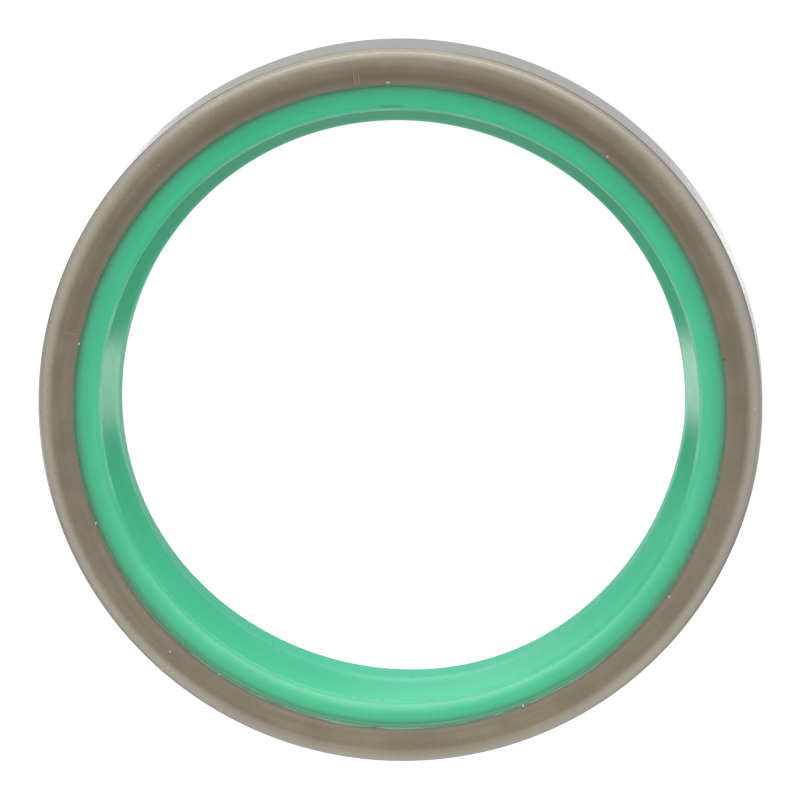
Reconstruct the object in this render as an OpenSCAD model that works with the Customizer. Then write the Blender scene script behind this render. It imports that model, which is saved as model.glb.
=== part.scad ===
// Metal-cased rod wiper seal, 55 x 69 x 8/11.
// A ring on the Z axis, lying on its lip end: the nose of the lip is at z = 0
// and the flange of the case is on top. Millimetres, Z up.

/* [Case] */
// Outside diameter of the case, the housing bore it is pressed into
case_od = 69; // [68.5:0.5:76]
// Height of the case, from its open end to the flange face
case_h = 8; // [7.5:0.25:9]
// Thickness of the sheet
sheet_t = 1.2; // [1.2:0.05:1.3]
// Outside radius of the bend between wall and flange
bend_r = 1.4; // [1.35:0.05:1.6]
// Radius of the shallow crown that leads from the flange into the bend
crown_r = 5; // [3:0.5:5.5]
// How far the crown leans before the bend takes over, in degrees
crown_deg = 11.5; // [6:0.5:12]
// Inside diameter of the flange
flange_id = 62.1; // [61.5:0.1:62.5]
// Width of the roll-over that blanking left on the flange's inner edge
roll_w = 0.55; // [0.3:0.05:0.55]
// Depth of that roll-over
roll_d = 0.14; // [0.06:0.01:0.2]
// Chamfer on the outside of the open end
open_chamfer = 0.35; // [0.1:0.05:0.6]

/* [Wiper element] */
// Overall height, from the nose of the lip to the flange face
overall_h = 11; // [10:0.25:12]
// Free diameter of the land that grips the rod
lip_id = 54.1; // [53.6:0.1:54.6]
// Height of the wiping edge above the nose
edge_z = 2.1; // [1.6:0.1:2.6]
// Height at which the straight land ends and the conical mouth opens
land_top = 6.3; // [5.5:0.1:6.4]
// Rounding between the land and the mouth
blend_r = 3; // [1:0.5:8]
// Diameter of the mouth's crest, before it is rounded
crest_d = 57.6; // [57:0.1:58]
// Depth of the crest behind the flange face
crest_depth = 0.86; // [0.7:0.02:0.88]
// Rounding of the crest
crest_r = 0.8; // [0.3:0.1:0.9]
// Diameter of the ridge, the highest circle of the front face
ridge_d = 59.9; // [59.7:0.1:60.1]
// Radius of the shallow dome between the crest and the ridge
dome_r = 4; // [4:0.25:5]
// Depth of the front face where it meets the flange's edge
edge_depth = 0.96; // [0.92:0.01:1.1]
// Inside diameter of the flat nose that the ring lies on
nose_id = 56.3; // [56:0.1:56.6]
// Outside diameter of the flat nose
nose_od = 56.9; // [56.8:0.1:57.4]
// Small chamfer outside the nose
nose_chamfer = 0.2; // [0.1:0.05:0.3]
// Angle of the lip's outer flank to the axis
flank_deg = 23; // [20:1:24]
// Height of the body's underside, the bottom of the dirt channel
channel_z = 6; // [5.5:0.1:6.4]
// Rounding at the bottom of the dirt channel
channel_r = 0.8; // [0.4:0.1:0.9]

/* [Hidden] */

case_r = case_od / 2;
bore_r = case_r - sheet_t;
flange_r = flange_id / 2;
top_z = overall_h;
open_z = overall_h - case_h;
under_z = top_z - sheet_t;

// The crown and the bend touch where both lean by crown_deg.
bend_c = [case_r - bend_r, top_z - crown_r + (crown_r - bend_r) * cos(crown_deg)];
crown_c = [bend_c[0] - (crown_r - bend_r) * sin(crown_deg), top_z - crown_r];
// The roll-over leaves the flange tangentially and drops by its depth.
roll_r = (roll_w * roll_w + roll_d * roll_d) / (2 * roll_d);
roll_c = [flange_r + roll_w, top_z - roll_r];

lip_r = lip_id / 2;
crest_z = top_z - crest_depth;
// The mouth is a cone from the land to the crest.
cone_deg = atan2(crest_d / 2 - lip_r, crest_z - land_top);
blend_c = [lip_r + blend_r, land_top - blend_r * tan(cone_deg / 2)];
ridge_r = ridge_d / 2;
dome_c = [ridge_r, crest_z - dome_r];
// The crest's rounding touches the cone and the dome of the front face.
dome_deg = asin(
    ((ridge_r - crest_d / 2) * cos(cone_deg) + dome_r * sin(cone_deg) - crest_r)
    / (dome_r - crest_r)
) - cone_deg;
round_c = [
    dome_c[0] - (dome_r - crest_r) * sin(dome_deg),
    dome_c[1] + (dome_r - crest_r) * cos(dome_deg)
];
// The front face falls from the ridge to the flange's edge along an arc.
face_fall = edge_depth - crest_depth;
face_r = (pow(flange_r - ridge_r, 2) + pow(face_fall, 2)) / (2 * face_fall);
face_c = [ridge_r, crest_z - face_r];

// The channel's rounding touches the body's underside and the lip's flank.
flank_foot = [nose_od / 2 + nose_chamfer, nose_chamfer];
channel_c = [
    flank_foot[0] + (channel_z - channel_r - flank_foot[1]) * tan(flank_deg)
        + channel_r / cos(flank_deg),
    channel_z - channel_r
];

// Points along an arc, both ends included.
function arc(c, r, a0, a1, n) =
    [for (i = [0:n]) let (a = a0 + (a1 - a0) * i / n)
        [c[0] + r * cos(a), c[1] + r * sin(a)]];

// A list without its first point.
function rest(list) = [for (i = [1:len(list) - 1]) list[i]];

// The inside of the sheet from the flange to the wall, which the moulding fills.
function inside_bend() = concat(
    arc(crown_c, crown_r - sheet_t, 90, 90 - crown_deg, 4),
    rest(arc(bend_c, bend_r - sheet_t, 90 - crown_deg, 0, 6))
);

// L-section of the pressed case, radius and height.
function case_section() = concat(
    [[flange_r, under_z]],
    inside_bend(),
    [[bore_r, open_z + 0.1], [bore_r + 0.1, open_z]],
    [[case_r - open_chamfer, open_z], [case_r, open_z + open_chamfer]],
    arc(bend_c, bend_r, 0, 90 - crown_deg, 16),
    rest(arc(crown_c, crown_r, 90 - crown_deg, 90, 6)),
    arc(roll_c, roll_r, 90, 90 + asin(roll_w / roll_r), 8)
);

// Section of the wiper element, radius and height.
function lip_section() = concat(
    // the edge and back of the flange, the inside of the bend, the case wall
    [[flange_r, under_z]],
    inside_bend(),
    [[bore_r, channel_z]],
    // dirt channel and the lip's flank
    arc(channel_c, channel_r, 90, 180 - flank_deg, 12),
    [flank_foot],
    // nose, bevel and wiping edge
    [[nose_od / 2, 0], [nose_id / 2, 0], [lip_r, edge_z]],
    // land, its blend and the cone of the mouth
    arc(blend_c, blend_r, 180, 180 - cone_deg, 16),
    // rounded crest, then the front face on both sides of its ridge
    arc(round_c, crest_r, 180 - cone_deg, 90 + dome_deg, 10),
    rest(arc(dome_c, dome_r, 90 + dome_deg, 90, 4)),
    rest(arc(face_c, face_r, 90, 90 - asin((flange_r - ridge_r) / face_r), 10))
);

// Pressed sheet-steel case with an inward flange.
module steel_case() {
    color([0.48, 0.45, 0.39])
        rotate_extrude($fn = 180) polygon(case_section());
}

// Polyurethane wiper element, bonded into the case.
module wiper_lip() {
    color([0.32, 0.75, 0.58])
        rotate_extrude($fn = 180) polygon(lip_section());
}

steel_case();
wiper_lip();
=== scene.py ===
import math

import bmesh
import bpy
import numpy as np
from mathutils import Matrix, Vector


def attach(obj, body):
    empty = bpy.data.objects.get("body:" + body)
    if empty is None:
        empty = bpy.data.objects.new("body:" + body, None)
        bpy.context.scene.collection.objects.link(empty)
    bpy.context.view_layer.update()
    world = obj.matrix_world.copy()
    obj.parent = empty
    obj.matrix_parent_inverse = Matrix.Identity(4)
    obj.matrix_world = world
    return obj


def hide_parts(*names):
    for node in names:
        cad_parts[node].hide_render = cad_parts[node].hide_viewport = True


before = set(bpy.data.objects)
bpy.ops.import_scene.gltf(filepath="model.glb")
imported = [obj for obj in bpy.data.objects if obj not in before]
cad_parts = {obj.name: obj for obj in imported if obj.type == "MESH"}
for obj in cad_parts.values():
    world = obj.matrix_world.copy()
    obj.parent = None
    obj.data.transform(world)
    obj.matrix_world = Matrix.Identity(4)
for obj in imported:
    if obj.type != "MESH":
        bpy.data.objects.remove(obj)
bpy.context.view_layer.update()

MM = 0.001
scene = bpy.context.scene

# ---------------------------------------------------------------- dimensions, in mm, as in the part's source
CASE_R, CASE_H, SHEET, BEND, CROWN, CROWN_LEAN = 34.5, 8.0, 1.2, 1.4, 5.0, math.radians(11.5)
FLANGE_R, ROLL_WIDTH, ROLL_DEPTH, OPEN_CHAMFER = 31.05, 0.55, 0.14, 0.35
TOP, LIP_R, EDGE_Z, LAND_TOP, LAND_BLEND = 11.0, 27.05, 2.1, 6.3, 3.0
CREST_R, CREST_DEPTH, CREST_ROUND = 28.8, 0.86, 0.8
RIDGE_R, DOME, EDGE_DEPTH = 29.95, 4.0, 0.96
NOSE_IN, NOSE_OUT, NOSE_CHAMFER = 28.15, 28.45, 0.2
FLANK, CHANNEL_Z, CHANNEL_ROUND = math.radians(23), 6.0, 0.8
OPEN_Z, UNDER_Z, BORE_R = TOP - CASE_H, TOP - SHEET, CASE_R - SHEET
INNER_BEND = BEND - SHEET
# the flange is crowned towards the bend: a large arc, then the bend itself
CROWN_R = CASE_R - BEND + (BEND - CROWN) * math.sin(CROWN_LEAN)
BEND_C = (CASE_R - BEND, TOP - CROWN + (CROWN - BEND) * math.cos(CROWN_LEAN))
LEAN = math.degrees(CROWN_LEAN)

# ---------------------------------------------------------------- camera, at the photograph's viewing angle
F_PX, TX, TY, X0, Y0, DIST = 9434.43, 0.037974, 0.176831, -0.001871, 0.025294, 26.0
n = np.array([math.sin(TX) * math.cos(TY), -math.sin(TY), math.cos(TX) * math.cos(TY)])
u = np.array([math.cos(TX), 0.0, -math.sin(TX)])
v = np.cross(n, u)
t = np.array([X0, Y0, DIST])
cam_data = bpy.data.cameras.new("camera")
cam_data.sensor_width = 36.0
cam_data.lens = F_PX * 36.0 / 800.0
cam = bpy.data.objects.new("camera", cam_data)
scene.collection.objects.link(cam)
right = Vector((u[0], -v[0], -n[0]))
up = Vector((-u[1], v[1], n[1]))
back = Vector((-u[2], v[2], n[2]))
where = Vector((-t @ u, t @ v, t @ n)) * (CASE_R * MM) + Vector((0, 0, TOP * MM))
turn = Matrix((right, up, back)).transposed()
cam.matrix_world = Matrix.Translation(where) @ turn.to_4x4()
scene.camera = cam


# ---------------------------------------------------------------- mesh helpers
def wave(phi, seed, low, high, fall=0.0):
    """A smooth periodic wander round the ring, about -1 to 1."""
    rng = np.random.default_rng(seed)
    out = np.zeros_like(phi)
    power = 0.0
    for k in range(low, high + 1):
        a = rng.normal() / (k / low) ** fall
        out += a * np.cos(k * phi + rng.uniform(0, 2 * math.pi))
        power += a * a / 2
    return out / (math.sqrt(power) * 2.0)


def arc(c, r, a0, a1, count):
    return [
        (c[0] + r * math.cos(a), c[1] + r * math.sin(a))
        for a in np.radians(np.linspace(a0, a1, count + 1))
    ]


def line(p, q, count):
    """Points from p up to but not including q."""
    return [
        (p[0] + (q[0] - p[0]) * i / count, p[1] + (q[1] - p[1]) * i / count)
        for i in range(count)
    ]


def ring_mesh(name, r, z, phi):
    """A closed ring from section points r, z given at each angle: arrays of (points, angles), in mm."""
    m, k = r.shape
    co = np.stack([r * np.cos(phi), r * np.sin(phi), z], axis=-1).reshape(-1, 3) * MM
    j, i = np.meshgrid(np.arange(m), np.arange(k), indexing="ij")
    j2, i2 = (j + 1) % m, (i + 1) % k
    quads = np.stack([j * k + i, j * k + i2, j2 * k + i2, j2 * k + i], axis=-1)
    mesh = bpy.data.meshes.new(name)
    mesh.from_pydata(co.tolist(), [], quads.reshape(-1, 4).tolist())
    mesh.validate()
    bm = bmesh.new()
    bm.from_mesh(mesh)
    bmesh.ops.recalc_face_normals(bm, faces=bm.faces)
    bm.to_mesh(mesh)
    bm.free()
    mesh.polygons.foreach_set("use_smooth", np.ones(len(mesh.polygons), bool))
    mesh.set_sharp_from_angle(angle=math.radians(32))
    obj = bpy.data.objects.new(name, mesh)
    scene.collection.objects.link(obj)
    return obj


# ---------------------------------------------------------------- steel case
SEGMENTS = 640
PHI = np.linspace(0, 2 * math.pi, SEGMENTS, endpoint=False)

case = []
case += line((FLANGE_R, UNDER_Z), (CROWN_R, UNDER_Z), 3)
case += arc((CROWN_R, TOP - CROWN), CROWN - SHEET, 90, 90 - LEAN, 4)
case += arc(BEND_C, INNER_BEND, 90 - LEAN, 0, 5)[1:]
case += line((BORE_R, BEND_C[1]), (BORE_R, OPEN_Z + 0.1), 6)[1:]
case += [(BORE_R, OPEN_Z + 0.1), (BORE_R + 0.1, OPEN_Z)]
case += [(CASE_R - OPEN_CHAMFER, OPEN_Z), (CASE_R, OPEN_Z + OPEN_CHAMFER)]
case += line((CASE_R, OPEN_Z + OPEN_CHAMFER), (CASE_R, BEND_C[1]), 8)[1:]
case += arc(BEND_C, BEND, 0, 90 - LEAN, 22)
case += arc((CROWN_R, TOP - CROWN), CROWN, 90 - LEAN, 90, 8)[1:]
roll = (ROLL_WIDTH**2 + ROLL_DEPTH**2) / (2 * ROLL_DEPTH)
roll_r = FLANGE_R + ROLL_WIDTH
case += line((CROWN_R, TOP), (roll_r, TOP), 4)[1:]
case += arc((roll_r, TOP - roll), roll, 90, 90 + math.degrees(math.asin(ROLL_WIDTH / roll)), 8)
case += line((FLANGE_R, TOP - ROLL_DEPTH), (FLANGE_R, UNDER_Z), 4)[1:]
case = np.array(case)
case_r = np.repeat(case[:, :1], SEGMENTS, axis=1)
case_z = np.repeat(case[:, 1:], SEGMENTS, axis=1)
# the blanked edge of the flange wanders a little, only towards the metal
blank = 0.5 + 0.5 * np.clip(wave(PHI, 11, 3, 90, 0.35), -1, 1)
near_edge = np.clip(1 - (case_r - FLANGE_R) / 0.4, 0, 1) * (case_z > UNDER_Z + 0.3)
case_r = case_r + near_edge * blank * 0.045
case_shell = ring_mesh("case_shell", case_r, case_z, PHI)
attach(case_shell, "root")
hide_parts("steel_case")

# ---------------------------------------------------------------- polyurethane element
crest_z = TOP - CREST_DEPTH
# the mouth is a cone from the land up to the domed face, their corner rounded
cone = math.atan2(CREST_R - LIP_R, crest_z - LAND_TOP)
reach = (RIDGE_R - CREST_R) * math.cos(cone) + DOME * math.sin(cone) - CREST_ROUND
dome = math.asin(reach / (DOME - CREST_ROUND)) - cone
dome_c = (RIDGE_R, crest_z - DOME)
round_c = (
    dome_c[0] - (DOME - CREST_ROUND) * math.sin(dome),
    dome_c[1] + (DOME - CREST_ROUND) * math.cos(dome),
)
cone_top = (round_c[0] - CREST_ROUND * math.cos(cone), round_c[1] + CREST_ROUND * math.sin(cone))
blend_z = LAND_TOP - LAND_BLEND * math.tan(cone / 2)
blend_c = (LIP_R + LAND_BLEND, blend_z)
cone_foot = (blend_c[0] - LAND_BLEND * math.cos(cone), blend_c[1] + LAND_BLEND * math.sin(cone))
fall = CREST_DEPTH - EDGE_DEPTH
face = ((FLANGE_R - RIDGE_R) ** 2 + fall**2) / (-2 * fall)
foot = (NOSE_OUT + NOSE_CHAMFER, NOSE_CHAMFER)
channel_c = (
    foot[0]
    + (CHANNEL_Z - CHANNEL_ROUND - foot[1]) * math.tan(FLANK)
    + CHANNEL_ROUND / math.cos(FLANK),
    CHANNEL_Z - CHANNEL_ROUND,
)

lip = []
lip += line((FLANGE_R, UNDER_Z), (CROWN_R, UNDER_Z), 3)
lip += arc((CROWN_R, TOP - CROWN), CROWN - SHEET, 90, 90 - LEAN, 4)
lip += arc(BEND_C, INNER_BEND, 90 - LEAN, 0, 5)[1:]
lip += line((BORE_R, BEND_C[1]), (BORE_R, CHANNEL_Z), 4)[1:]
lip += line((BORE_R, CHANNEL_Z), (channel_c[0], CHANNEL_Z), 3)
lip += arc(channel_c, CHANNEL_ROUND, 90, 180 - math.degrees(FLANK), 10)
flank_top = lip[-1]
lip += line(flank_top, foot, 8)[1:]
lip += [foot, (NOSE_OUT, 0.0), (NOSE_IN, 0.0)]
lip += line((NOSE_IN, 0.0), (LIP_R, EDGE_Z), 4)[1:]
lip += line((LIP_R, EDGE_Z), (LIP_R, blend_z), 6)
lip += arc(blend_c, LAND_BLEND, 180, 180 - math.degrees(cone), 12)
lip += line(cone_foot, cone_top, 14)[1:]
# a fine parting line of the mould runs round where the mouth turns into the crest
first_parting = len(lip)
out = (-math.cos(cone), math.sin(cone))
along = (math.sin(cone), math.cos(cone))
PARTING = ((-0.11, 0.0), (-0.06, 0.02), (-0.03, 0.06), (0.015, 0.062), (0.05, 0.015))
for step, lift in PARTING:
    lip.append(
        (
            cone_top[0] + along[0] * step + out[0] * lift,
            cone_top[1] + along[1] * step + out[1] * lift,
        )
    )
last_parting = len(lip)
lip += arc(round_c, CREST_ROUND, 180 - math.degrees(cone) - 5, 90 + math.degrees(dome), 14)[1:]
lip += arc(dome_c, DOME, 90 + math.degrees(dome), 90, 6)[1:]
face_end = math.degrees(math.asin((30.86 - RIDGE_R) / face))
lip += arc((RIDGE_R, crest_z - face), face, 90, 90 - face_end, 10)[1:]
first_skin = len(lip)
# the moulding's skin climbs the edge of the flange and ends in a thin ragged flash
base_z = TOP - EDGE_DEPTH
climb = EDGE_DEPTH - 0.135
face_foot = lip[-1]
for a in np.radians(np.linspace(0, 90, 12))[1:]:
    rise = base_z + climb - face_foot[1]
    lip.append((face_foot[0] + 0.155 * math.sin(a), face_foot[1] + rise * (1 - math.cos(a))))
last_skin = len(lip)
lip += [(31.05, 10.87), (31.10, 10.88), (31.15, 10.85)]
lip = np.array(lip)
lip_r = np.repeat(lip[:, :1], SEGMENTS, axis=1)
lip_z = np.repeat(lip[:, 1:], SEGMENTS, axis=1)
# the parting line is worn away on one side of the ring
worn = np.clip((-0.12 - np.sin(PHI)) / 0.30, 0, 1) * 0.85
for j, (step, lift) in enumerate(PARTING):
    lip_r[first_parting + j] -= out[0] * lift * worn
    lip_z[first_parting + j] -= out[1] * lift * worn
# uneven flash: its height and its thickness wander round the ring, and it laps over the edge in places
tall = 0.93 + 0.05 * np.clip(wave(PHI, 21, 4, 70, 0.3) * 1.4, -1.8, 1)
thick = 0.8 + 0.45 * np.clip(wave(PHI, 22, 3, 120, 0.3), -1, 1)
lap = np.clip(0.06 + 0.06 * wave(PHI, 23, 5, 60, 0.35), 0, 0.13) * np.clip((tall - 0.84) / 0.06, 0, 1)
for j in range(first_skin + 1, last_skin):
    share = (j - first_skin) / (last_skin - 1 - first_skin)
    lip_z[j] = face_foot[1] + (lip[j, 1] - face_foot[1]) * tall
    lip_r[j] = FLANGE_R - (FLANGE_R - lip[j, 0]) * (1 + (thick - 1) * share)
for j, share, lift in ((last_skin, 0.35, 0.016), (last_skin + 1, 0.85, 0.012), (last_skin + 2, 1.0, -0.02)):
    lip_r[j] = FLANGE_R + 0.01 + lap * share
    over = TOP - roll + np.sqrt(roll**2 - (roll_r - lip_r[j]) ** 2) + lift
    lip_z[j] = np.where(lap > 0.002, over, lip_z[last_skin - 1] - 0.02)
# the soft lip is a little out of round, most at its nose
soft = np.clip((9.0 - lip_z) / 6.0, 0, 1) * (lip_r < 31.3)
wander = 0.042 * np.cos(2 * PHI + 0.9) + 0.056 * np.cos(4 * PHI - 2.1)
wander += 0.085 * np.cos(PHI) - 0.087 * np.sin(PHI) + 0.026 * np.cos(4 * PHI) + 0.068 * np.sin(4 * PHI)
lip_r = lip_r + soft * wander
lip_moulding = ring_mesh("lip_moulding", lip_r, lip_z, PHI)
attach(lip_moulding, "root")
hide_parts("wiper_lip")


# ---------------------------------------------------------------- material helpers
class Tree:
    """Short names for building a node tree."""

    def __init__(self, tree):
        self.tree = tree
        self.nodes = tree.nodes
        self.nodes.clear()

    def add(self, kind, **props):
        node = self.nodes.new(kind)
        for key, value in props.items():
            setattr(node, key, value)
        return node

    def link(self, a, b):
        self.tree.links.new(a, b)

    def put(self, socket, value):
        if isinstance(value, bpy.types.NodeSocket):
            self.link(value, socket)
        else:
            socket.default_value = value

    def math(self, op, a, b=0.0, c=0.0, clamp=False):
        node = self.add("ShaderNodeMath", operation=op, use_clamp=clamp)
        for s, value in zip(node.inputs, (a, b, c)):
            self.put(s, value)
        return node.outputs[0]

    def ramp(self, value, a, b, lo=0.0, hi=1.0, smooth=True):
        node = self.add(
            "ShaderNodeMapRange",
            interpolation_type="SMOOTHSTEP" if smooth else "LINEAR",
            clamp=True,
        ) if smooth else self.add("ShaderNodeMapRange", clamp=True)
        self.put(node.inputs["Value"], value)
        node.inputs["From Min"].default_value = a
        node.inputs["From Max"].default_value = b
        node.inputs["To Min"].default_value = lo
        node.inputs["To Max"].default_value = hi
        return node.outputs["Result"]

    def mix(self, share, a, b):
        node = self.add("ShaderNodeMix", data_type="RGBA", clamp_factor=True)
        self.put(node.inputs[0], share)
        for s, value in ((node.inputs[6], a), (node.inputs[7], b)):
            self.put(s, value if isinstance(value, bpy.types.NodeSocket) else (*value, 1.0))
        return node.outputs[2]

    def noise(self, vector, scale, detail=3.0, rough=0.55, distortion=0.0):
        node = self.add("ShaderNodeTexNoise", noise_dimensions="3D")
        self.put(node.inputs["Vector"], vector)
        node.inputs["Scale"].default_value = scale
        node.inputs["Detail"].default_value = detail
        node.inputs["Roughness"].default_value = rough
        node.inputs["Distortion"].default_value = distortion
        return node.outputs["Fac"]

    def vector(self, x, y, z):
        node = self.add("ShaderNodeCombineXYZ")
        for s, value in zip(node.inputs, (x, y, z)):
            self.put(s, value)
        return node.outputs[0]


def ring_coordinates(tree):
    """Object position, and radius, angle and height round the ring, in mm and radians."""
    at = tree.add("ShaderNodeTexCoord").outputs["Object"]
    parts = tree.add("ShaderNodeSeparateXYZ")
    tree.link(at, parts.inputs[0])
    x, y, z = parts.outputs
    radius = tree.math("SQRT", tree.math("ADD", tree.math("MULTIPLY", x, x), tree.math("MULTIPLY", y, y)))
    return at, tree.math("MULTIPLY", radius, 1000.0), tree.math("ARCTAN2", y, x), tree.math("MULTIPLY", z, 1000.0)


def turn_of(tree, ang):
    """The angle round the ring from 0 to two pi."""
    return tree.math("ADD", ang, tree.math("MULTIPLY", tree.math("LESS_THAN", ang, 0.0), 2 * math.pi))


def spot(tree, at, r, deg, size):
    """1 within a small round mark at radius r and an angle, in mm and degrees, 0 outside it."""
    node = tree.add("ShaderNodeVectorMath", operation="DISTANCE")
    tree.link(at, node.inputs[0])
    a = math.radians(deg)
    drop = max(0.0, roll_r - r)
    z = TOP - roll + math.sqrt(roll**2 - drop**2)
    node.inputs[1].default_value = (r * math.cos(a) * MM, r * math.sin(a) * MM, z * MM)
    return tree.ramp(node.outputs["Value"], size * 0.5 * MM, size * 1.1 * MM, 1.0, 0.0)


def material(name):
    m = bpy.data.materials.new(name)
    m.use_nodes = True
    tree = Tree(m.node_tree)
    out = tree.add("ShaderNodeOutputMaterial")
    shader = tree.add("ShaderNodeBsdfPrincipled")
    tree.link(shader.outputs[0], out.inputs["Surface"])
    return m, tree, shader


# ---------------------------------------------------------------- steel: filmed flange and bend, bare outside wall
steel, tr, sh = material("case_steel_film")
at, rad, ang, hgt = ring_coordinates(tr)
cloud = tr.noise(at, 260.0, 4.0, 0.55)
patch = tr.noise(at, 1100.0, 5.0, 0.6)
grain = tr.noise(at, 9000.0, 2.0, 0.6)
film = tr.mix(tr.ramp(cloud, 0.32, 0.68), (0.192, 0.167, 0.117), (0.226, 0.199, 0.141))
film = tr.mix(tr.ramp(patch, 0.35, 0.75, 0.0, 0.30), film, (0.168, 0.144, 0.098))
# streaks that run round the flange, and a slightly browner tone next to the moulding
streak = tr.noise(tr.vector(tr.math("MULTIPLY", rad, 2.6), tr.math("MULTIPLY", ang, 3.0), tr.math("MULTIPLY", hgt, 2.6)), 1.0, 4.0, 0.6)
film = tr.mix(tr.ramp(streak, 0.42, 0.66, 0.0, 0.38), film, (0.156, 0.135, 0.092))
film = tr.mix(tr.ramp(rad, 31.3, 32.1, 0.45, 0.0), film, (0.207, 0.177, 0.133))
height = tr.math("SINE", ang)
sides = tr.ramp(height, 0.4, 0.9, 1.0, 0.0)
# painted sheen: the bend is paler towards its outer edge, partly wear of the film and partly a painted highlight; the
# band starts further out at the top, where it makes a bright line, and is fainter along the bottom
worn = tr.math("ADD", tr.math("MULTIPLY", tr.ramp(rad, 32.85, 34.0, 0.0, 0.92), sides), tr.math("MULTIPLY", tr.ramp(rad, 33.5, 34.05, 0.0, 0.85), tr.math("SUBTRACT", 1.0, sides)))
worn = tr.math("MULTIPLY", worn, tr.ramp(height, -0.98, -0.72, 0.55, 1.0))
film = tr.mix(worn, film, (0.408, 0.383, 0.308))
film = tr.mix(tr.math("MULTIPLY", tr.ramp(rad, 34.02, 34.25), sides), film, (0.375, 0.352, 0.320))
# painted shade: a darker band round the flange at about 32 mm radius, on the upper half and strongest at the top; the
# flange's inner edge is also darker and greener along the lower half
ring = tr.math("MULTIPLY", tr.ramp(tr.math("ABSOLUTE", tr.math("SUBTRACT", rad, 31.98)), 0.2, 0.6, 1.0, 0.0), tr.ramp(height, -0.1, 0.9, 0.0, 0.6))
film = tr.mix(ring, film, (0.145, 0.124, 0.083))
film = tr.mix(tr.math("MULTIPLY", tr.ramp(rad, 31.25, 31.5, 1.0, 0.0), tr.ramp(height, -0.8, 0.0, 0.85, 0.0)), film, (0.104, 0.112, 0.079))
# the outside was sized after the film went on: bare, greyer, with fine lines round it
BARE_Z = BEND_C[1] + BEND * math.cos(math.radians(74))
above = tr.math("SUBTRACT", hgt, BARE_Z)
lines = tr.noise(tr.vector(tr.math("MULTIPLY", ang, 1.5), 0.0, tr.math("MULTIPLY", hgt, 26.0)), 1.0, 4.0, 0.7)
bare = tr.mix(tr.ramp(lines, 0.3, 0.7), (0.50, 0.485, 0.435), (0.60, 0.585, 0.53))
outside = tr.ramp(rad, CASE_R - 0.6, CASE_R - 0.4)
wall = tr.math("MULTIPLY", tr.ramp(above, -0.05, 0.05, 1.0, 0.0), outside)
seam = tr.math("MULTIPLY", tr.ramp(tr.math("ABSOLUTE", above), 0.02, 0.12, 1.0, 0.0), outside)
colour = tr.mix(wall, film, bare)
colour = tr.mix(tr.math("MULTIPLY", seam, 0.6), colour, (0.14, 0.126, 0.098))
# a few fine scratches across the flange and some specks caught on it
for centre, half in ((1.6985, 0.0007), (1.6930, 0.0005), (1.6840, 0.0008), (2.911, 0.0005)):
    cut = tr.ramp(tr.math("ABSOLUTE", tr.math("SUBTRACT", turn_of(tr, ang), centre)), half * 0.5, half * 1.5, 1.0, 0.0)
    cut = tr.math("MULTIPLY", cut, tr.math("MULTIPLY", tr.ramp(rad, 31.3, 31.6), tr.ramp(rad, 32.2, 32.6, 1.0, 0.0)))
    colour = tr.mix(tr.math("MULTIPLY", cut, 0.6), colour, (0.46, 0.42, 0.34))
for r, deg, size, tone in (
    (32.3, 226.8, 0.13, (0.50, 0.47, 0.40)),
    (32.6, 134.0, 0.08, (0.46, 0.43, 0.36)),
    (31.25, 8.8, 0.16, (0.075, 0.065, 0.05)),
    (33.2, 78.0, 0.10, (0.11, 0.098, 0.072)),
    (32.0, 190.0, 0.10, (0.12, 0.105, 0.08)),
):
    colour = tr.mix(tr.math("MULTIPLY", spot(tr, at, r, deg, size), 0.75), colour, tone)
tr.link(colour, sh.inputs["Base Color"])
tr.link(tr.ramp(wall, 0.0, 1.0, 0.12, 0.95, smooth=False), sh.inputs["Metallic"])
rough = tr.math("ADD", tr.ramp(patch, 0.3, 0.7, 0.22, 0.30), tr.ramp(grain, 0.3, 0.7, -0.02, 0.02))
rough = tr.math("ADD", rough, tr.math("MULTIPLY", wall, -0.13))
tr.link(rough, sh.inputs["Roughness"])
sh.inputs["Specular IOR Level"].default_value = 0.15
relief = tr.math("ADD", tr.math("MULTIPLY", grain, 0.6), tr.math("MULTIPLY", tr.math("MULTIPLY", lines, wall), 1.0))
relief = tr.math("ADD", relief, tr.math("MULTIPLY", patch, 0.8))
bump = tr.add("ShaderNodeBump")
bump.inputs["Strength"].default_value = 0.12
bump.inputs["Distance"].default_value = 0.00003
tr.link(relief, bump.inputs["Height"])
tr.link(bump.outputs[0], sh.inputs["Normal"])
case_shell.data.materials.append(steel)

# ---------------------------------------------------------------- green polyurethane
green, tr, sh = material("green_polyurethane")
at, rad, ang, hgt = ring_coordinates(tr)
cloud = tr.noise(at, 140.0, 3.0, 0.5)
fine = tr.noise(at, 1500.0, 4.0, 0.6)
turned = tr.noise(tr.vector(tr.math("MULTIPLY", rad, 7.0), tr.math("MULTIPLY", ang, 1.2), tr.math("MULTIPLY", hgt, 7.0)), 1.0, 5.0, 0.65)
body = tr.mix(tr.ramp(cloud, 0.3, 0.7), (0.057, 0.500, 0.270), (0.068, 0.545, 0.299))
body = tr.mix(tr.ramp(fine, 0.4, 0.8, 0.0, 0.2), body, (0.053, 0.475, 0.248))
smear = tr.noise(tr.vector(tr.math("MULTIPLY", rad, 2.4), tr.math("MULTIPLY", ang, 7.0), tr.math("MULTIPLY", hgt, 2.4)), 1.0, 4.0, 0.6)
body = tr.mix(tr.ramp(smear, 0.42, 0.68, 0.0, 0.35), body, (0.046, 0.435, 0.222))
# painted shade: the face darkens steadily from the crest out towards the metal
body = tr.mix(tr.ramp(rad, 28.7, 30.5, 0.0, 0.88, smooth=False), body, (0.047, 0.395, 0.211))
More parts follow.
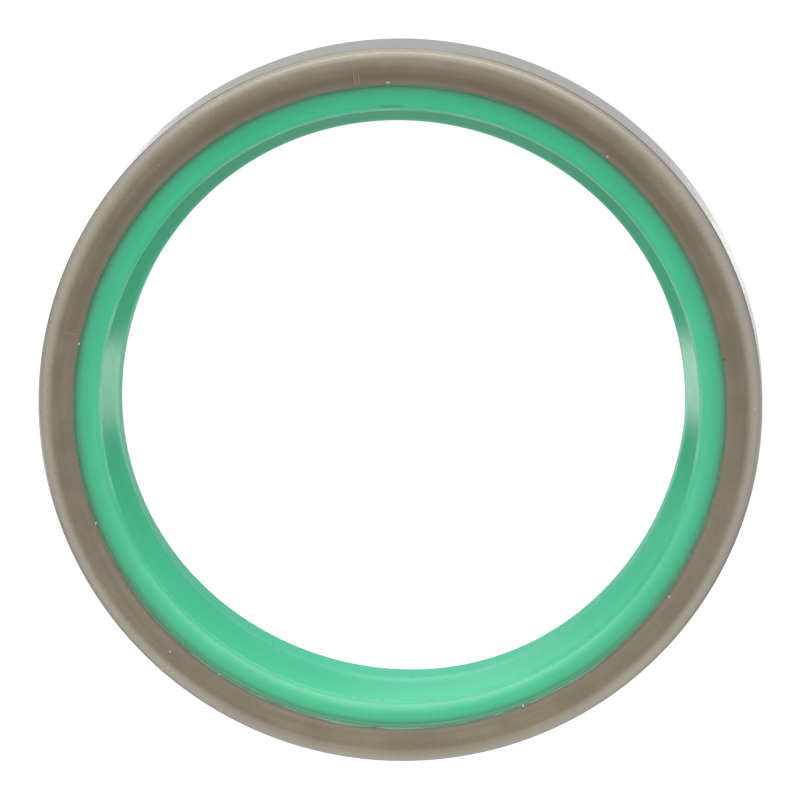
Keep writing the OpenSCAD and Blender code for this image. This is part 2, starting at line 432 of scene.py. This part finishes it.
# painted light and shade: the mouth is painted a little paler along the bottom and darker along the top
mouth = tr.ramp(rad, 28.42, 28.8, 1.0, 0.0)
body = tr.mix(tr.math("MULTIPLY", mouth, tr.ramp(tr.math("SINE", ang), -0.6, 0.0, 0.8, 0.0)), body, (0.072, 0.640, 0.362))
body = tr.mix(tr.math("MULTIPLY", mouth, tr.ramp(tr.math("SINE", ang), 0.45, 0.8, 0.0, 0.85)), body, (0.046, 0.420, 0.220))
# painted light: the thin lip is painted paler towards its land, standing in for light that comes through it
body = tr.mix(tr.math("MULTIPLY", tr.ramp(hgt, blend_z - 0.2, blend_z + 1.9, 0.85, 0.0), tr.ramp(rad, 28.5, 28.9, 1.0, 0.0)), body, (0.095, 0.780, 0.465))
# painted shade: the crest's rounding is painted darker along the bottom and along the top
crest = tr.math("MULTIPLY", tr.ramp(rad, 28.5, 28.85), tr.math("MULTIPLY", tr.ramp(rad, 28.9, 29.25, 1.0, 0.0), tr.ramp(hgt, 9.0, 9.3)))
body = tr.mix(tr.math("MULTIPLY", crest, tr.math("ADD", tr.ramp(tr.math("SINE", ang), -0.35, 0.0, 0.45, 0.0), tr.ramp(tr.math("SINE", ang), 0.45, 0.8, 0.0, 0.4))), body, (0.046, 0.410, 0.228))
# greyer and darker towards the metal: partly grime, partly painted shade in the recess by the flange's edge, less of it
# along the bottom and the top; the flash on the flange's edge is duller still with paler crumbs
upper = tr.ramp(hgt, CHANNEL_Z + 3.0, CHANNEL_Z + 3.4)
grime_and_shade = tr.math("MULTIPLY", tr.ramp(tr.math("ADD", rad, tr.math("MULTIPLY", fine, 0.3)), 30.45, 31.15, 0.0, 0.85, smooth=False), upper)
grime_and_shade = tr.math("MULTIPLY", grime_and_shade, tr.math("MULTIPLY", tr.ramp(tr.math("SINE", ang), -0.95, -0.55, 0.75, 1.0), tr.ramp(tr.math("SINE", ang), 0.5, 0.95, 1.0, 0.55)))
body = tr.mix(grime_and_shade, body, (0.105, 0.270, 0.170))
# the parting line shows paler, unevenly: partly its own paler colour, partly a painted highlight along the crest, a
# little weaker at the top and gone along the bottom
up = tr.math("SINE", ang)
parting = tr.math("MULTIPLY", tr.ramp(rad, 28.46, 28.56), tr.math("ADD", tr.math("MULTIPLY", tr.ramp(rad, 28.68, 28.86, 1.0, 0.0), tr.ramp(up, 0.25, 0.6, 1.0, 0.0)), tr.math("MULTIPLY", tr.ramp(rad, 28.58, 28.66, 1.0, 0.0), tr.ramp(up, 0.25, 0.6))))
parting = tr.math("MULTIPLY", parting, tr.ramp(hgt, 9.25, 9.4))
parting = tr.math("MULTIPLY", parting, tr.ramp(tr.noise(at, 240.0, 4.0, 0.6), 0.35, 0.62, 0.35, 0.9))
parting = tr.math("MULTIPLY", parting, tr.math("MULTIPLY", tr.ramp(tr.math("SINE", ang), -0.42, -0.12), tr.ramp(up, 0.4, 0.95, 1.0, 0.9)))
body = tr.mix(parting, body, tr.mix(tr.ramp(up, 0.4, 0.8), (0.26, 0.57, 0.43), (0.30, 0.53, 0.43)))
skin = tr.math("MULTIPLY", tr.ramp(rad, 30.88, 30.94), tr.ramp(hgt, TOP - EDGE_DEPTH + 0.08, TOP - EDGE_DEPTH + 0.2))
pale = tr.ramp(tr.noise(at, 900.0, 3.0, 0.6), 0.52, 0.66)
flash = tr.mix(pale, (0.095, 0.282, 0.172), (0.114, 0.300, 0.190))
body = tr.mix(skin, body, flash)
# a short dark scuff just behind the crest
scuff = tr.math("MULTIPLY", tr.ramp(tr.math("ABSOLUTE", tr.math("SUBTRACT", ang, 1.592)), 0.026, 0.052, 1.0, 0.0), tr.ramp(hgt, 9.8, 9.95))
scuff = tr.math("MULTIPLY", scuff, tr.ramp(tr.math("ABSOLUTE", tr.math("SUBTRACT", rad, 28.93)), 0.03, 0.20, 1.0, 0.0))
scuff = tr.math("MULTIPLY", scuff, tr.ramp(tr.noise(at, 1300.0, 2.0, 0.6), 0.3, 0.6, 0.3, 0.85))
body = tr.mix(scuff, body, (0.06, 0.27, 0.17))
body = tr.mix(tr.math("MULTIPLY", tr.ramp(rad, 31.03, 31.06), tr.ramp(hgt, 10.78, 10.84)), body, (0.105, 0.170, 0.113))
tr.link(body, sh.inputs["Base Color"])
bore = tr.ramp(rad, 28.5, 28.75, 1.0, 0.0)
rough = tr.math("ADD", tr.ramp(fine, 0.3, 0.7, 0.29, 0.37), tr.math("MULTIPLY", bore, -0.12))
rough = tr.math("ADD", rough, tr.ramp(hgt, blend_z - 0.3, blend_z + 0.9, 0.28, 0.0))
tr.link(rough, sh.inputs["Roughness"])
sh.inputs["IOR"].default_value = 1.5
shine = tr.ramp(tr.math("MULTIPLY", up, tr.ramp(rad, 28.7, 29.0)), -0.1, 0.9, 0.9, 0.42)
tr.link(tr.math("MULTIPLY", shine, tr.math("MAXIMUM", tr.ramp(hgt, blend_z - 0.3, blend_z + 0.9), tr.ramp(up, -0.75, -0.5, 0.25, 0.9))), sh.inputs["Specular IOR Level"])
sh.inputs["Subsurface Weight"].default_value = 0.3
sh.inputs["Subsurface Radius"].default_value = (0.35, 1.0, 0.6)
sh.inputs["Subsurface Scale"].default_value = 0.001
bump = tr.add("ShaderNodeBump")
bump.inputs["Strength"].default_value = 0.10
bump.inputs["Distance"].default_value = 0.00003
relief = tr.math("ADD", tr.math("MULTIPLY", turned, 0.8), tr.math("MULTIPLY", fine, 0.5))
tr.link(tr.math("MULTIPLY", relief, tr.ramp(hgt, blend_z - 0.3, blend_z + 1.5, 0.15, 1.0)), bump.inputs["Height"])
tr.link(bump.outputs[0], sh.inputs["Normal"])
lip_moulding.data.materials.append(green)

# ---------------------------------------------------------------- crumbs of moulding flash and dust at the edge of the flange
def surface_z(r):
    """Height of the case's outside at a radius, in mm."""
    if r < roll_r:
        return TOP - roll + math.sqrt(roll**2 - (roll_r - r) ** 2)
    if r < CROWN_R:
        return TOP
    if r < BEND_C[0] + BEND * math.sin(CROWN_LEAN):
        return TOP - CROWN + math.sqrt(CROWN**2 - (r - CROWN_R) ** 2)
    return BEND_C[1] + math.sqrt(BEND**2 - (r - BEND_C[0]) ** 2)


CRUMBS = (
    (31.36, 91.55, 0.17, 0.10),
    (31.10, 168.3, 0.15, 0.09),
    (31.09, 200.9, 0.16, 0.08),
    (31.42, 324.7, 0.11, 0.08),
    (31.08, 292.0, 0.15, 0.09),
    (31.34, 50.7, 0.11, 0.08),
    (33.78, 0.0, 0.10, 0.12),
    (31.12, 236.0, 0.11, 0.08),
)
rng = np.random.default_rng(31)
bm = bmesh.new()
for r, deg, length, width in CRUMBS:
    made = bmesh.ops.create_icosphere(bm, subdivisions=3, radius=1.0)["verts"]
    a, twist = math.radians(deg), rng.uniform(0, math.pi)
    lobes = rng.normal(size=(5, 3)) * 2.0
    shift = rng.uniform(0, 2 * math.pi, 5)
    for vert in made:
        q = np.array(vert.co)
        swell = 1 + 0.09 * sum(math.sin(float(k @ q) + h) for k, h in zip(lobes, shift))
        e, f, g = q[0] * length * swell, q[1] * width * swell, q[2] * 0.07 * swell
        x = r * math.cos(a) + e * math.cos(twist) - f * math.sin(twist)
        y = r * math.sin(a) + e * math.sin(twist) + f * math.cos(twist)
        z = min(surface_z(max(FLANGE_R, min(math.hypot(x, y), 34.4))) + g, TOP - 0.001)
        vert.co = (x * MM, y * MM, z * MM)
crumb_mesh = bpy.data.meshes.new("edge_crumbs")
bm.to_mesh(crumb_mesh)
bm.free()
crumb_mesh.polygons.foreach_set("use_smooth", np.ones(len(crumb_mesh.polygons), bool))
edge_crumbs = bpy.data.objects.new("edge_crumbs", crumb_mesh)
scene.collection.objects.link(edge_crumbs)
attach(edge_crumbs, "root")
dust, tr, sh = material("crumb_dust")
at, rad, ang, hgt = ring_coordinates(tr)
mottle = tr.noise(at, 6000.0, 3.0, 0.6)
tr.link(tr.mix(tr.ramp(mottle, 0.3, 0.7), (0.30, 0.34, 0.27), (0.52, 0.51, 0.45)), sh.inputs["Base Color"])
tr.link(tr.ramp(mottle, 0.3, 0.7, 0.45, 0.6), sh.inputs["Roughness"])
crumb_mesh.materials.append(dust)

# ---------------------------------------------------------------- floor
bm = bmesh.new()
bmesh.ops.create_circle(bm, cap_ends=True, segments=96, radius=4.0)
floor_mesh = bpy.data.meshes.new("floor")
bm.to_mesh(floor_mesh)
bm.free()
floor = bpy.data.objects.new("floor", floor_mesh)
scene.collection.objects.link(floor)
pale = bpy.data.materials.new("pale_floor")
pale.use_nodes = True
tr = Tree(pale.node_tree)
out = tr.add("ShaderNodeOutputMaterial")
glow = tr.add("ShaderNodeEmission")
glow.inputs["Color"].default_value = (1, 1, 1, 1)
glow.inputs["Strength"].default_value = 0.9
matt = tr.add("ShaderNodeBsdfDiffuse")
matt.inputs["Color"].default_value = (0.2, 0.2, 0.2, 1)
both = tr.add("ShaderNodeAddShader")
tr.link(glow.outputs[0], both.inputs[0])
tr.link(matt.outputs[0], both.inputs[1])
tr.link(both.outputs[0], out.inputs["Surface"])
floor_mesh.materials.append(pale)
floor.visible_glossy = False
floor.visible_diffuse = False

# ---------------------------------------------------------------- light: a soft studio surround, an overhead softbox and a low fill
world = bpy.data.worlds.new("studio")
scene.world = world
world.use_nodes = True
tr = Tree(world.node_tree)
out = tr.add("ShaderNodeOutputWorld")
parts = tr.add("ShaderNodeSeparateXYZ")
tr.link(tr.add("ShaderNodeTexCoord").outputs["Generated"], parts.inputs[0])
dx, dy, dz = parts.outputs
wide = tr.math("ABSOLUTE", dx)
front = tr.math("MULTIPLY", tr.ramp(dz, -0.25, 0.20, 0.36, 0.44), tr.ramp(dz, 0.84, 0.96, 1.0, 0.57))
front = tr.math("MULTIPLY", front, tr.ramp(dy, -0.8, 0.1, 0.70, 1.0))
apron = tr.math("MULTIPLY", tr.ramp(dy, -0.95, -0.72, 1.0, 0.0), tr.ramp(dz, 0.25, 0.55, 1.0, 0.0))
front = tr.math("ADD", front, tr.math("MULTIPLY", apron, 0.75))
band_low = tr.math("ADD", dy, tr.math("MULTIPLY", wide, 0.36))
band_low = tr.math("ADD", band_low, tr.math("MULTIPLY", tr.ramp(wide, 0.20, 0.40, 0.05, 0.0), tr.ramp(dx, -0.1, 0.0, 1.0, 0.0)))
band_low = tr.math("ADD", band_low, tr.ramp(wide, 0.35, 0.55, 0.0, 0.016))
band_high = tr.math("ADD", dy, tr.math("MULTIPLY", wide, 0.20))
band_high = tr.math("SUBTRACT", band_high, tr.math("MULTIPLY", tr.ramp(wide, 0.3, 0.5), tr.ramp(dx, -0.1, 0.1, 0.045, 0.075)))
band = tr.math("MULTIPLY", tr.ramp(band_low, -0.085, -0.055), tr.ramp(band_high, -0.07, 0.0, 1.0, 0.0))
down = tr.math("MULTIPLY", tr.ramp(wide, 0.25, 0.55, 1.0, 0.0), tr.ramp(dy, -0.08, 0.0))
back_top = tr.math("MULTIPLY", tr.ramp(dy, 0.35, 0.75), tr.math("MULTIPLY", tr.ramp(dx, 0.06, 0.22, 1.0, 0.0), tr.ramp(dx, -0.95, -0.45)))
sides = tr.math("MULTIPLY", tr.ramp(wide, 0.32, 0.80, 0.0, 1.60, smooth=False), tr.ramp(dx, -0.1, 0.1, 1.25, 1.0))
sides = tr.math("MULTIPLY", sides, tr.ramp(dy, -0.34, -0.19, 1.35, 1.0))
sides = tr.math("ADD", sides, tr.math("MULTIPLY", tr.ramp(wide, 0.20, 0.32, 1.0, 0.0), tr.ramp(dx, -0.1, 0.1, 1.25, 0.9)))
low = tr.math("ADD", tr.math("MULTIPLY", band, sides), 0.14)
low = tr.math("ADD", low, tr.ramp(dz, -0.92, -0.76, 0.16, 0.0))
low = tr.math("ADD", low, tr.math("MULTIPLY", down, 0.28))
low = tr.math("ADD", low, tr.math("MULTIPLY", tr.math("MULTIPLY", tr.ramp(wide, 0.25, 0.55, 1.0, 0.0), tr.math("MULTIPLY", tr.ramp(dy, -0.48, -0.26), tr.ramp(dy, -0.12, 0.0, 1.0, 0.0))), 0.36))
low = tr.math("ADD", low, tr.math("MULTIPLY", tr.math("MULTIPLY", tr.ramp(wide, 0.3, 0.6, 1.0, 0.0), tr.ramp(dy, -0.45, -0.30, 1.0, 0.0)), 0.12))
low = tr.math("ADD", low, tr.math("MULTIPLY", tr.math("MULTIPLY", tr.ramp(dx, -0.6, -0.4, 1.0, 0.0), tr.ramp(dy, 0.0, 0.15)), 0.2))
low = tr.math("ADD", low, tr.math("MULTIPLY", tr.math("MULTIPLY", tr.ramp(dz, -0.97, -0.94, 1.0, 0.0), tr.math("MULTIPLY", tr.ramp(dx, -0.02, 0.04), tr.ramp(dy, -0.12, -0.05, 1.0, 0.0))), 0.06))
low = tr.math("ADD", low, tr.math("MULTIPLY", back_top, 0.75))
low = tr.math("ADD", low, tr.ramp(dy, -0.95, -0.75, 0.6, 0.0))
level = tr.add("ShaderNodeMix", data_type="FLOAT")
tr.link(tr.ramp(dz, -0.6, -0.35), level.inputs[0])
tr.link(low, level.inputs[2])
tr.link(front, level.inputs[3])
surround = tr.add("ShaderNodeBackground")
surround.inputs["Color"].default_value = (1, 1, 1, 1)
# overhead softbox, with a brighter tube across it just behind the ring, and a strip higher up
box = tr.math("MULTIPLY", tr.ramp(dy, 0.55, 0.88), tr.ramp(wide, 0.35, 0.75, 1.0, 0.0))
box = tr.math("MULTIPLY", box, tr.ramp(dz, -0.45, -0.20))
tube = tr.math("MULTIPLY", tr.ramp(tr.math("ABSOLUTE", tr.math("SUBTRACT", dz, 0.03)), 0.02, 0.07, 1.0, 0.0), tr.ramp(wide, 0.55, 0.9, 1.0, 0.0))
tube = tr.math("MULTIPLY", tube, tr.ramp(dy, 0.5, 0.7))
strip = tr.math("MULTIPLY", tr.ramp(dy, -0.08, 0.36), tr.math("MULTIPLY", tr.ramp(dy, 0.34, 0.66, 1.0, 0.6), tr.ramp(dy, 0.62, 0.85, 1.0, 0.0)))
strip = tr.math("MULTIPLY", strip, tr.math("MULTIPLY", tr.ramp(wide, 0.32, 0.70, 1.0, 0.0), tr.ramp(dz, 0.36, 0.50)))
light = tr.math("ADD", tr.math("MULTIPLY", box, 0.8), tr.math("MULTIPLY", tube, 8.0))
strip = tr.math("MULTIPLY", strip, tr.ramp(dx, 0.08, 0.30, 1.0, 0.65))
light = tr.math("ADD", light, tr.math("MULTIPLY", strip, 3.0))
tr.link(tr.math("ADD", level.outputs[0], light), surround.inputs["Strength"])
plain = tr.add("ShaderNodeBackground")
plain.inputs["Color"].default_value = (1, 1, 1, 1)
plain.inputs["Strength"].default_value = 1.0
choose = tr.add("ShaderNodeMixShader")
tr.link(tr.add("ShaderNodeLightPath").outputs["Is Camera Ray"], choose.inputs[0])
tr.link(surround.outputs[0], choose.inputs[1])
tr.link(plain.outputs[0], choose.inputs[2])
tr.link(choose.outputs[0], out.inputs["Surface"])


def softbox(name, place, aim, width, height, radiance):
    data = bpy.data.lights.new(name, "AREA")
    data.shape = "RECTANGLE"
    data.size, data.size_y = width, height
    data.energy = radiance * math.pi * width * height
    obj = bpy.data.objects.new(name, data)
    scene.collection.objects.link(obj)
    obj.location = place
    obj.rotation_mode = "QUATERNION"
    obj.rotation_quaternion = (Vector(aim) - obj.location).to_track_quat("-Z", "Y")
    obj.visible_camera = False
    return obj


softbox("low_fill", (0.0, -0.085, 0.10), (0, -0.03, 0.011), 0.12, 0.06, 3.0).visible_glossy = False

scene.view_settings.view_transform = "Standard"
scene.view_settings.look = "None"
